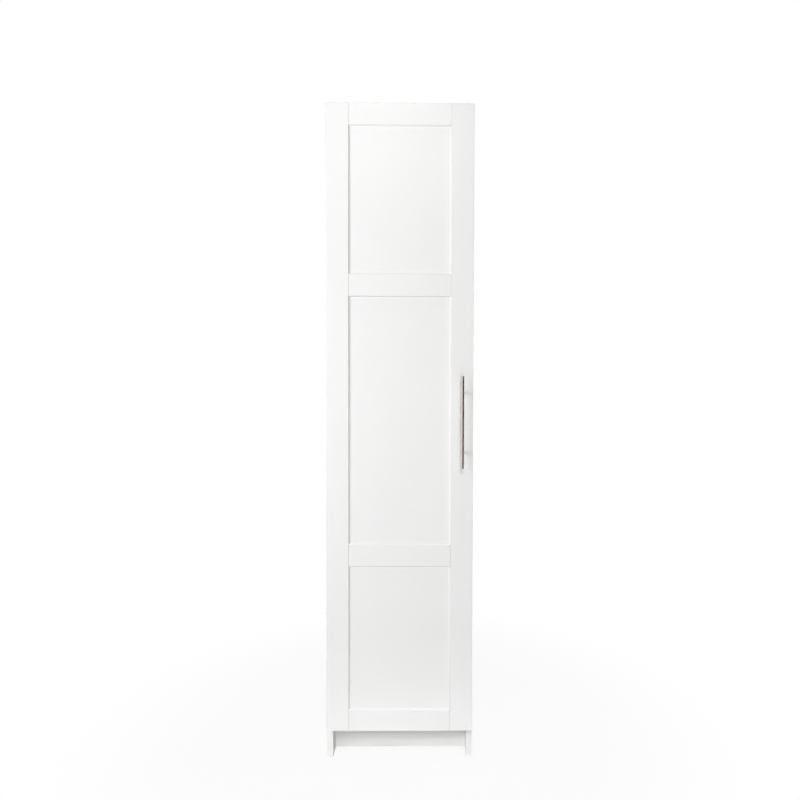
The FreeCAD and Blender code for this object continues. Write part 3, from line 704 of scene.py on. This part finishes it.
def bridge_rings(made: bmesh.types.BMesh, rings: Sequence[Sequence[bmesh.types.BMVert]]) -> None:
    """Joins each ring of points to the next by four-sided faces.

    Args:
        made: the mesh that holds the points.
        rings: the rings in order, each with the same count of points.
    """
    for lower, upper in zip(rings, rings[1:]):
        count = len(lower)
        for i in range(count):
            j = (i + 1) % count
            made.faces.new((lower[i], lower[j], upper[j], upper[i]))


def quarter_round(radius: float, steps: int) -> list[tuple[float, float]]:
    """Points (inset, rise) of a quarter round from a flat end to a straight side."""
    angles = [math.pi / 2 * i / steps for i in range(steps + 1)]
    return [(radius * (1.0 - math.sin(a)), radius * (1.0 - math.cos(a))) for a in angles]


# Sub-assemblies

@dataclass
class Carcass:
    """The boards, the back and the fittings that hold them together."""

    boards: tuple[str, ...] = (
        "left_side_panel", "right_side_panel", "top_panel", "bottom_panel", "fixed_shelf",
        "adjustable_shelf", "kickboard", "wall_fixing_rail",
    )

    def dress(self) -> None:
        """Gives each board, the back and each fitting its finish."""
        for name in self.boards:
            low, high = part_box(name)
            Melamine("melamine_" + name, tuple(low), tuple(high)).dress(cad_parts[name])
        HARDBOARD.dress(*cad_nodes("back_panel_lower", "back_panel_upper"))
        ZINC_PLATE.dress(*cad_nodes("back_panel_nails", "cam_bolts"))
        CAST_ZINC.dress(*cad_nodes("cam_locks"))
        WHITE_PLASTIC.dress(*cad_nodes("cam_caps", "shelf_pins", "foot_glides"))
        BEECH.dress(*cad_nodes("wood_dowels"))


@dataclass
class Door:
    """The framed door: stiles, rails, flat panels and bumpers."""

    broken_edge: float = 0.2 * MILLIMETRE
    edge_segments: int = 2
    edge_angle: float = 35.0
    weld_reach: float = 0.002 * MILLIMETRE
    flat_face_weight: int = 100

    def soften(self, nodes: Iterable[bpy.types.Object]) -> None:
        """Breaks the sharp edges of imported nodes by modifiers, which leave their meshes alone.

        Args:
            nodes: the nodes.
        """
        for node in nodes:
            weld = node.modifiers.new("joined_faces", "WELD")
            weld.merge_threshold = self.weld_reach
            broken = node.modifiers.new("broken_edges", "BEVEL")
            broken.width = self.broken_edge
            broken.segments = self.edge_segments
            broken.limit_method = "ANGLE"
            broken.angle_limit = math.radians(self.edge_angle)
            broken.use_clamp_overlap = False
            even = node.modifiers.new("even_shading", "WEIGHTED_NORMAL")
            even.weight = self.flat_face_weight

    def dress(self) -> None:
        """Gives every piece its finish and breaks the frame's edges."""
        members = cad_nodes("door_")
        SATIN_FOIL.dress(*[node for node in members if node.name != "door_bumpers"])
        self.soften(node for node in members if node.name.endswith(("stile", "rail")))
        CLEAR_BUMPER.dress(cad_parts["door_bumpers"])


@dataclass
class Hinges:
    """The four concealed hinges and their screws."""

    def dress(self) -> None:
        """Gives the hinges and screws their plating."""
        NICKEL_PLATE.dress(*cad_nodes("hinge_"))


@dataclass
class BarHandle:
    """The round bar on two posts, turned with softened ends."""

    end_round: float = 0.7 * MILLIMETRE
    foot_chamfer: float = 0.3 * MILLIMETRE
    steps_round: int = 72
    steps_end: int = 5
    bar_crease: float = 40.0
    post_crease: float = 30.0

    def angles(self) -> list[float]:
        """Even angles once round, in radians."""
        return [2.0 * math.pi * i / self.steps_round for i in range(self.steps_round)]

    def finish(self, node: str, made: bmesh.types.BMesh, crease: float) -> bpy.types.Object:
        """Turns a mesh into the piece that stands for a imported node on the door.

        Args:
            node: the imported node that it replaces.
            made: its mesh, which is used up.
            crease: the least angle that stays a crease, in degrees.

        Returns:
            The piece.
        """
        smooth_by_angle(made, crease)
        bmesh.ops.recalc_face_normals(made, faces=made.faces)
        piece = new_object("turned_" + node, made, BRUSHED_NICKEL)
        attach(piece, Body.DOOR.value)
        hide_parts(node)
        return piece

    def bar(self) -> bpy.types.Object:
        """Makes the bar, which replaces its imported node.

        Returns:
            The piece.
        """
        low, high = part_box("handle_bar")
        centre = (low + high) / 2
        radius = (high.x - low.x) / 2
        rounded = quarter_round(self.end_round, self.steps_end)
        profile = [(radius - inset, low.z + rise) for inset, rise in rounded]
        profile += [(r, low.z + high.z - z) for r, z in reversed(profile)]
        made = bmesh.new()
        rings = []
        for r, z in profile:
            points = [(centre.x + r * math.cos(a), centre.y + r * math.sin(a), z) for a in self.angles()]
            rings.append([made.verts.new(point) for point in points])
        bridge_rings(made, rings)
        made.faces.new(rings[0])
        made.faces.new(rings[-1])
        return self.finish("handle_bar", made, self.bar_crease)

    def post(self, node: str) -> bpy.types.Object:
        """Makes a post, hollowed at its end to sit on the bar.

        Args:
            node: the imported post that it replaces.

        Returns:
            The piece.
        """
        bar_low, bar_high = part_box("handle_bar")
        bar_y = (bar_low.y + bar_high.y) / 2
        bar_radius = (bar_high.x - bar_low.x) / 2
        low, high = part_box(node)
        centre = (low + high) / 2
        radius = (high.x - low.x) / 2
        inner = 1.0 - self.foot_chamfer / radius
        made = bmesh.new()
        foot: list[bmesh.types.BMVert] = []
        side: list[bmesh.types.BMVert] = []
        saddle: list[bmesh.types.BMVert] = []
        for angle in self.angles():
            across = radius * math.cos(angle)
            up = radius * math.sin(angle)
            contact = bar_y + math.sqrt(bar_radius ** 2 - across ** 2)
            foot.append(made.verts.new((centre.x + across * inner, high.y, centre.z + up * inner)))
            side.append(made.verts.new((centre.x + across, high.y - self.foot_chamfer, centre.z + up)))
            saddle.append(made.verts.new((centre.x + across, contact, centre.z + up)))
        bridge_rings(made, (foot, side, saddle))
        made.faces.new(foot)
        tip = made.verts.new((centre.x, bar_y + bar_radius, centre.z))
        for i in range(self.steps_round):
            made.faces.new((saddle[i], saddle[(i + 1) % self.steps_round], tip))
        return self.finish(node, made, self.post_crease)

    def build(self) -> None:
        """Makes the bar and its posts, and dresses the bolts that hold them."""
        self.bar()
        for node in ("handle_post_lower", "handle_post_upper"):
            self.post(node)
        ZINC_PLATE.dress(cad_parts["handle_bolts"])


# Studio

def seen_rays(graph: Graph) -> Signal:
    """Tells rays that show a surface from rays that light one.

    Args:
        graph: the tree.

    Returns:
        One for camera, glossy and transmission rays, and nought for the rest.
    """
    path = graph.node("ShaderNodeLightPath", {}, {})
    kinds = ("Is Camera Ray", "Is Glossy Ray", "Is Transmission Ray")
    camera, glossy, through = (Signal(graph, path.outputs[kind]) for kind in kinds)
    return camera.most(glossy).most(through)


@dataclass(frozen=True)
class StudioFloor(Finish):
    """Plain pale floor that keeps the shadow and fades into the white surround."""

    name: str = "white_studio_floor"
    colour: Colour = (0.62, 0.62, 0.62)
    veil: float = 0.92
    fade_from: float = 0.35
    fade_to: float = 1.1

    def paint(self, graph: Graph) -> None:
        """Paints the floor under a white veil, which thickens away from the cupboard.

        Args:
            graph: the material's tree.
        """
        away = graph.add("ShaderNodeVectorMath", {"operation": "LENGTH"}, {0: graph.place()}, "Value")
        veil = self.veil + (1.0 - self.veil) * away.between(self.fade_from, self.fade_to)
        matt = graph.add("ShaderNodeBsdfDiffuse", {}, {"Color": self.colour})
        white = graph.add("ShaderNodeEmission", {}, {"Color": WHITE, "Strength": 1.0})
        mixed = graph.add("ShaderNodeMixShader", {}, {0: veil * seen_rays(graph), 1: matt, 2: white})
        graph.node("ShaderNodeOutputMaterial", {}, {"Surface": mixed})


@dataclass(frozen=True)
class BrownCloth(Finish):
    """Brown cloth of the screen that the metal mirrors."""

    name: str = "brown_studio_screen"
    colour: Colour = (0.10, 0.038, 0.012)
    dark_thread: Colour = (0.07, 0.0266, 0.0084)
    weave_scale: float = 400.0
    weave_detail: float = 2.0
    roughness: float = 0.9

    def paint(self, graph: Graph) -> None:
        """Paints the woven cloth.

        Args:
            graph: the material's tree.
        """
        weave = graph.noise(graph.place(), self.weave_scale, self.weave_detail)
        cloth = graph.mix(weave, self.colour, self.dark_thread)
        graph.shade(Base_Color=cloth, Roughness=self.roughness)


@dataclass(frozen=True)
class Lamp:
    """A soft lamp that metal doesn't mirror; its spread is the angle of its beam in degrees."""

    name: str
    place: Point
    aim: Point
    width: float
    height: float
    watts: float
    spread: float = 180.0

    def build(self) -> bpy.types.Object:
        """Hangs the lamp in the studio.

        Returns:
            The lamp.
        """
        light = bpy.data.lights.new(self.name, "AREA")
        light.shape = "RECTANGLE"
        light.size = self.width
        light.size_y = self.height
        light.energy = self.watts
        light.spread = math.radians(self.spread)
        lamp = bpy.data.objects.new(self.name, light)
        lamp.location = self.place
        towards = Vector(self.aim) - Vector(self.place)
        lamp.rotation_euler = towards.to_track_quat("-Z", "Y").to_euler()
        lamp.visible_camera = False
        lamp.visible_glossy = False
        bpy.context.scene.collection.objects.link(lamp)
        return lamp


FRONT_LAMPS = (
    Lamp("key_lamp", (-1.32, -2.04, 1.29), (0.17, -0.19, 0.94), width=0.25, height=0.25, watts=7.8),
    Lamp("side_left_lamp", (-1.3, -1.15, 1.35), (0.1, -0.18, 1.2), width=0.3, height=0.8, watts=10.3),
    Lamp("high_front_lamp", (0.14, -2.6, 2.0), (0.14, -0.18, 1.2), width=0.45, height=0.8, watts=20.3),
    Lamp("low_front_lamp", (0.14, -2.2, 0.3), (0.14, -0.18, 0.4), width=0.45, height=0.4, watts=7.0),
    Lamp("top_lamp", (0.05, -1.6, 1.95), (-0.02, -0.18, 1.8), width=0.3, height=0.3, watts=0.1, spread=30.0),
    Lamp("overhead_lamp", (0.0, -0.8, 4.4), (0.0, -0.8, 0.0), width=0.6, height=0.6, watts=2.9, spread=60.0),
    Lamp("foot_lamp", (0.0, -1.6, 1.2), (0.0, -0.14, -0.08), width=0.8, height=0.3, watts=0.2, spread=13.0),
)
REAR_LAMPS = (
    Lamp("rear_top_lamp", (0.0, 1.0, 3.4), (0.0, 0.05, 1.79), width=0.6, height=0.6, watts=1.6, spread=40.0),
    Lamp("left_rear_lamp", (-2.0, 1.9, 1.5), (-0.2, 0.1, 1.0), width=1.6, height=1.6, watts=7.0, spread=60.0),
    Lamp("right_rear_lamp", (2.3, 1.3, 1.5), (0.2, 0.1, 1.0), width=1.6, height=1.6, watts=10.5, spread=60.0),
)


@dataclass
class Studio:
    """The floor, the screen, the surround and the lamps."""

    floor_half: float = 30.0
    surround: float = 0.14
    screen_line: tuple[tuple[float, float], ...] = ((0.85, -2.2), (1.35, -0.9), (1.35, 0.9))
    screen_foot: float = -0.2
    screen_top: float = 2.6
    lamps: tuple[Lamp, ...] = FRONT_LAMPS + REAR_LAMPS

    def floor(self) -> None:
        """Lays the floor under the cupboard."""
        half = self.floor_half
        corners = ((-half, -half), (half, -half), (half, half), (-half, half))
        made = bmesh.new()
        made.faces.new([made.verts.new((x, y, 0.0)) for x, y in corners])
        new_object("studio_floor", made, StudioFloor())

    def screen(self) -> None:
        """Stands a brown screen to the right of the camera, which only shows in mirroring metal."""
        made = bmesh.new()
        lower = [made.verts.new((x, y, self.screen_foot)) for x, y in self.screen_line]
        upper = [made.verts.new((x, y, self.screen_top)) for x, y in self.screen_line]
        for i in range(len(self.screen_line) - 1):
            made.faces.new((lower[i], lower[i + 1], upper[i + 1], upper[i]))
        screen = new_object("studio_screen", made, BrownCloth())
        screen.visible_camera = False
        screen.visible_diffuse = False
        screen.visible_shadow = False

    def sky(self) -> None:
        """Lights everything a little from all round, and shows white to the camera and in gloss."""
        world = bpy.data.worlds.new("studio_surround")
        world.use_nodes = True
        graph = Graph(world.node_tree)
        dim = graph.add("ShaderNodeBackground", {}, {"Color": WHITE, "Strength": self.surround})
        white = graph.add("ShaderNodeBackground", {}, {"Color": WHITE, "Strength": 1.0})
        mixed = graph.add("ShaderNodeMixShader", {}, {0: seen_rays(graph), 1: dim, 2: white})
        graph.node("ShaderNodeOutputWorld", {}, {"Surface": mixed})
        bpy.context.scene.world = world

    def build(self) -> None:
        """Sets the whole studio up."""
        self.floor()
        self.screen()
        self.sky()
        for lamp in self.lamps:
            lamp.build()
        bpy.context.scene.view_settings.view_transform = "Standard"


@dataclass
class PhotoCamera:
    """The camera at the photograph's viewing angle, for a square image; its angles are in degrees."""

    place: Point = (0.101, -1.924, 1.044)
    yaw: float = 0.62
    pitch: float = -1.61
    roll: float = 0.2
    sensor_width: float = 36.0
    focal_pixels: float = 644.0
    image_pixels: float = 800.0
    axis_pixel: float = 444.0

    def turn(self) -> Matrix:
        """Works out the camera's turn from its three angles.

        Returns:
            The turn.
        """
        yaw, pitch, roll = (math.radians(angle) for angle in (self.yaw, self.pitch, self.roll))
        flat = math.cos(pitch)
        forward = Vector((math.sin(yaw) * flat, math.cos(yaw) * flat, math.sin(pitch)))
        level = Vector((math.cos(yaw), -math.sin(yaw), 0.0))
        upright = level.cross(forward)
        right = level * math.cos(roll) + upright * math.sin(roll)
        return Matrix((right, right.cross(forward), -forward)).transposed()

    def build(self) -> bpy.types.Object:
        """Stands the camera in the studio and makes it the scene's own.

        Returns:
            The camera.
        """
        data = bpy.data.cameras.new("photo_camera")
        data.sensor_width = self.sensor_width
        data.lens = self.sensor_width * self.focal_pixels / self.image_pixels
        data.shift_x = (self.image_pixels / 2 - self.axis_pixel) / self.image_pixels
        camera = bpy.data.objects.new("photo_camera", data)
        camera.matrix_world = Matrix.Translation(self.place) @ self.turn().to_4x4()
        bpy.context.scene.collection.objects.link(camera)
        bpy.context.scene.camera = camera
        return camera


def main() -> None:
    """Builds and dresses the sub-assemblies in order, then sets the studio up round them."""
    logging.basicConfig(level=logging.INFO, format="%(name)s: %(message)s")
    PhotoCamera().build()
    Carcass().dress()
    Door().dress()
    Hinges().dress()
    BarHandle().build()
    Studio().build()


if __name__ == "__main__":
    main()
